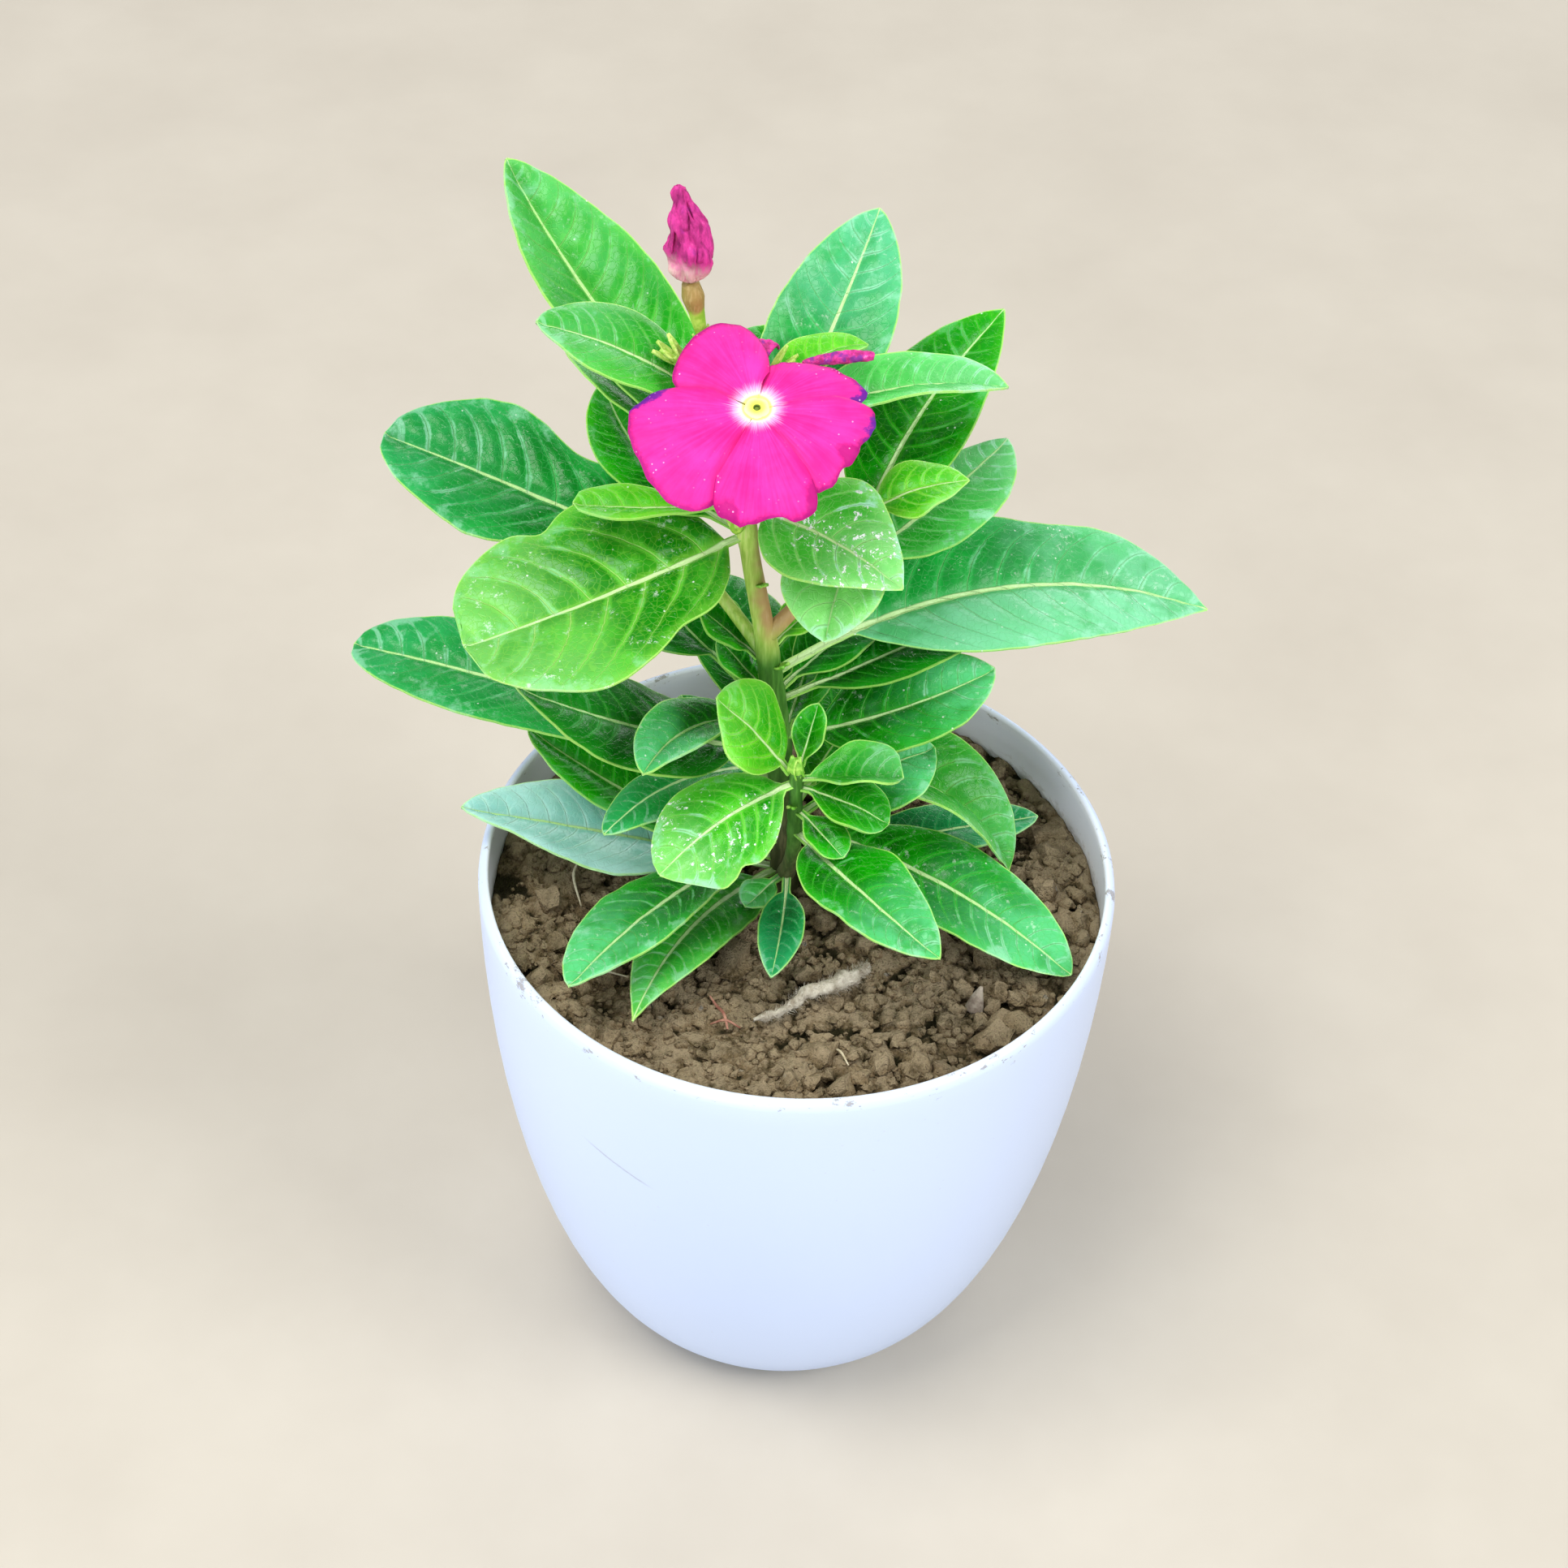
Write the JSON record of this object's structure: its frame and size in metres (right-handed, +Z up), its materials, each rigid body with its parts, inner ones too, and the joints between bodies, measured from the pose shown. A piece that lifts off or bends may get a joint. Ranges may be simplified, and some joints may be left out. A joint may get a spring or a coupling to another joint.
{
  "type": "potted flowering plant",
  "caption": "Madagascar periwinkle in a round tapered plastic pot: a bushy plant of glossy oval leaves with one open magenta flower and a spent one, standing in crumbly soil.",
  "frame": {"origin": "centre of the pot's flat underside", "axes": "+Z up through the pot's axis; -Y is the side that the picture shows; +X is to the right seen from there"},
  "size_m": [0.1739, 0.13, 0.2687],
  "materials": {
    "pot_plastic": "satin white plastic with a cool cast",
    "soil": "crumbly brown soil",
    "stem": "green to brown stem",
    "leaf_young": "bright young leaf",
    "leaf_old": "dark glossy leaf",
    "leaf_pale": "pale bluish leaf",
    "petal": "velvety magenta petal",
    "petal_spent": "shrivelled purple petal",
    "cup": "yellow-green flower tube and calyx",
    "twig": "dry pale twig"
  },
  "bodies": {
    "root": {"curled_petal": "petal_spent", "dry_twig": "twig", "flower_petals": "petal", "flower_tube": "cup", "leaf_back_left": "leaf_old", "leaf_back_mid": "leaf_old", "leaf_base_back": "leaf_old", "leaf_base_back_right": "leaf_pale", "leaf_base_front_left": "leaf_old", "leaf_base_front_right": "leaf_old", "leaf_base_front_small": "leaf_young", "leaf_base_front_tiny": "leaf_young", "leaf_base_right_back": "leaf_old", "leaf_base_right_long": "leaf_old", "leaf_base_soil_left": "leaf_old", "leaf_crown_back_left": "leaf_old", "leaf_crown_back_right": "leaf_old", "leaf_crown_left": "leaf_young", "leaf_crown_right": "leaf_old", "leaf_crown_under_left": "leaf_old", "leaf_crown_young_left": "leaf_young", "leaf_crown_young_right": "leaf_young", "leaf_fore_left": "leaf_young", "leaf_fore_right": "leaf_young", "leaf_left_big": "leaf_old", "leaf_left_young": "leaf_young", "leaf_long_right": "leaf_old", "leaf_low_back": "leaf_old", "leaf_low_back_right": "leaf_old", "leaf_low_front_left": "leaf_old", "leaf_low_left": "leaf_old", "leaf_low_left_hidden": "leaf_old", "leaf_low_left_long": "leaf_old", "leaf_low_left_pale": "leaf_pale", "leaf_low_left_thin": "leaf_old", "leaf_mid_bright": "leaf_young", "leaf_mid_front_left": "leaf_old", "leaf_mid_left_fold": "leaf_old", "leaf_mid_left_up": "leaf_old", "leaf_mid_right": "leaf_old", "leaf_right_back": "leaf_old", "leaf_right_dark": "leaf_old", "leaf_right_hanging": "leaf_pale", "leaf_right_low": "leaf_old", "leaf_right_teal": "leaf_old", "leaf_right_upright": "leaf_old", "leaf_right_young": "leaf_young", "leaf_rosette_left": "leaf_young", "leaf_rosette_left_front": "leaf_young", "leaf_rosette_low": "leaf_young", "leaf_rosette_right": "leaf_young", "leaf_rosette_right_front": "leaf_young", "leaf_rosette_right_side": "leaf_young", "leaf_rosette_tiny": "leaf_young", "pot": "pot_plastic", "rolled_petal": "petal_spent", "soil": "soil", "spent_flower_petals": "petal_spent", "spent_flower_stalks": "cup", "stem": "stem"}
  },
  "joints": []
}
